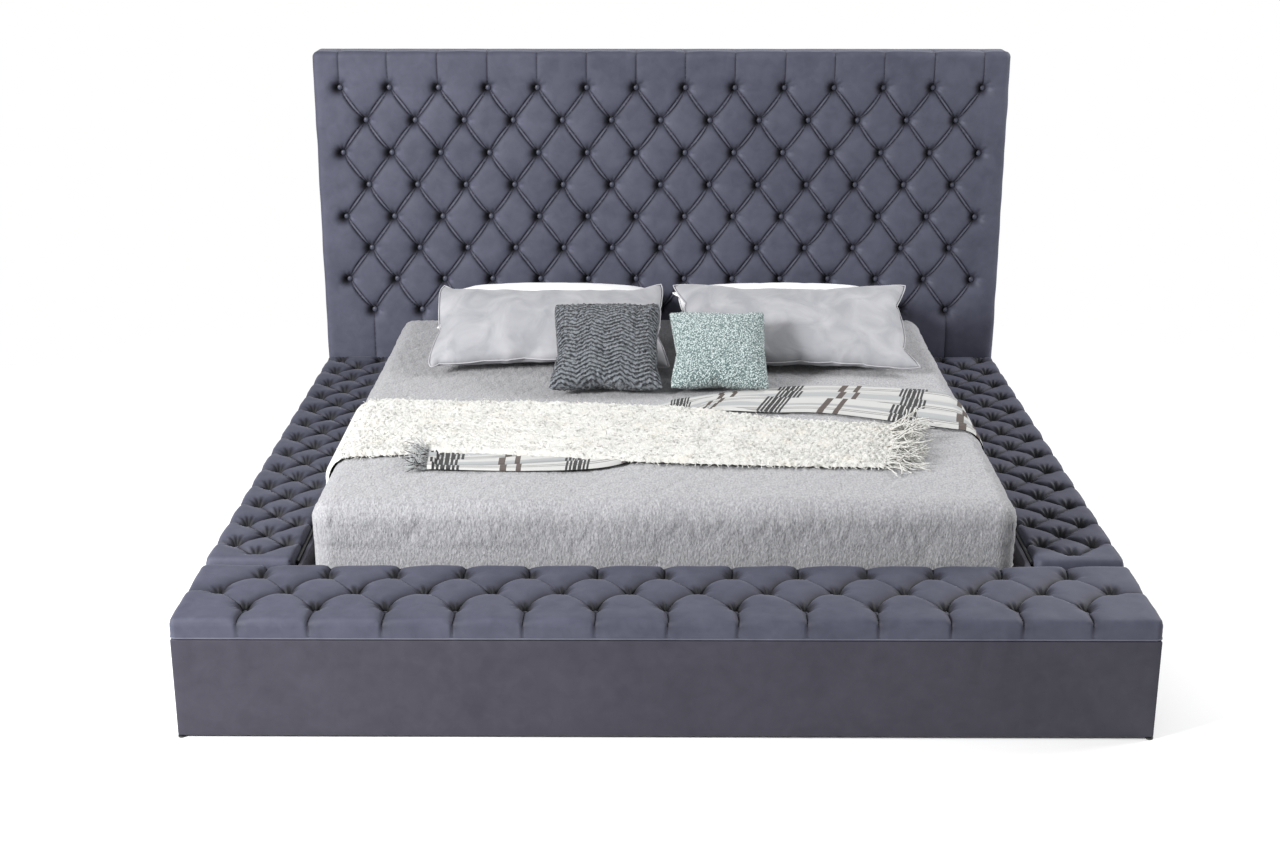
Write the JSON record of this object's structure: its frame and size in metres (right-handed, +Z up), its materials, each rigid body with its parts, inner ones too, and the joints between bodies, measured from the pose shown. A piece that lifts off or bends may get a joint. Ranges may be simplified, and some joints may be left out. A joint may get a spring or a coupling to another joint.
{
  "type": "upholstered storage bed",
  "caption": "Upholstered bed with a tall button-tufted headboard, a tufted foot bench and side boxes with lift-up padded lids, and dressed bedding.",
  "frame": {"origin": "on the floor under the middle of the bed's outline", "axes": "+Z up, +Y from the foot bench to the headboard, +X to the right of someone facing the headboard"},
  "size_m": [2.5398, 2.5586, 1.48],
  "materials": {
    "velvet": "matte",
    "lining": "matte",
    "pine": "satin",
    "plywood": "satin",
    "steel": "satin",
    "plastic": "matte",
    "ticking": "matte",
    "quilt_cotton": "matte",
    "white_wool": "matte",
    "plaid_wool": "matte",
    "white_cotton": "matte",
    "grey_cotton": "matte",
    "slate_knit": "matte",
    "mint_knit": "matte"
  },
  "bodies": {
    "bed": {"headboard_pad": "velvet", "headboard_face_board": "plywood", "headboard_back_cover": "lining", "headboard_stile_left": "pine", "headboard_stile_right": "pine", "headboard_top_rail": "pine", "headboard_bottom_rail": "pine", "headboard_centre_post": "pine", "bench_front_panel": "velvet", "bench_back_panel": "velvet", "bench_floor": "lining", "bench_divider": "lining", "bench_end_left": "velvet", "bench_glide_left": "plastic", "bench_end_right": "velvet", "bench_glide_right": "plastic", "side_outer_panel_left": "velvet", "side_inner_panel_left": "velvet", "side_foot_end_left": "lining", "side_head_end_left": "lining", "side_floor_left": "lining", "side_outer_panel_right": "velvet", "side_inner_panel_right": "velvet", "side_foot_end_right": "lining", "side_head_end_right": "lining", "side_floor_right": "lining", "bench_hinge_fixed_leaf": "steel", "bench_hinge_pin": "steel", "left_hinge_fixed_leaf": "steel", "left_hinge_pin": "steel", "right_hinge_fixed_leaf": "steel", "right_hinge_pin": "steel", "centre_beam": "pine", "platform_cleat_left": "pine", "platform_cleat_right": "pine", "platform_board_1": "plywood", "platform_board_2": "plywood", "platform_board_3": "plywood", "platform_board_4": "plywood", "centre_leg_1": "pine", "centre_leg_2": "pine", "mattress": "ticking", "quilt": "quilt_cotton", "white_throw": "white_wool", "plaid_throw": "plaid_wool", "pillow_left": "white_cotton", "sham_left": "grey_cotton", "pillow_right": "white_cotton", "sham_right": "grey_cotton", "slate_cushion": "slate_knit", "mint_cushion": "mint_knit"},
    "bench_lid": {"bench_lid_board": "plywood", "bench_lid_pad": "velvet", "bench_hinge_moving_leaf": "steel"},
    "left_lid": {"left_lid_board": "plywood", "left_lid_pad": "velvet", "left_hinge_moving_leaf": "steel"},
    "right_lid": {"right_lid_board": "plywood", "right_lid_pad": "velvet", "right_hinge_moving_leaf": "steel"}
  },
  "joints": [
    {"name": "bench_lid_hinge", "type": "hinge", "parent": "bed", "child": "bench_lid", "pos_m": [0, -0.9025, 0.3123], "axis": [-1, 0, 0], "range_deg": [0, 88]},
    {"name": "left_lid_hinge", "type": "hinge", "parent": "bed", "child": "left_lid", "pos_m": [-1.0211, 0, 0.3123], "axis": [0, 1, 0], "range_deg": [0, 88]},
    {"name": "right_lid_hinge", "type": "hinge", "parent": "bed", "child": "right_lid", "pos_m": [1.0211, 0, 0.3123], "axis": [0, -1, 0], "range_deg": [0, 88]}
  ]
}
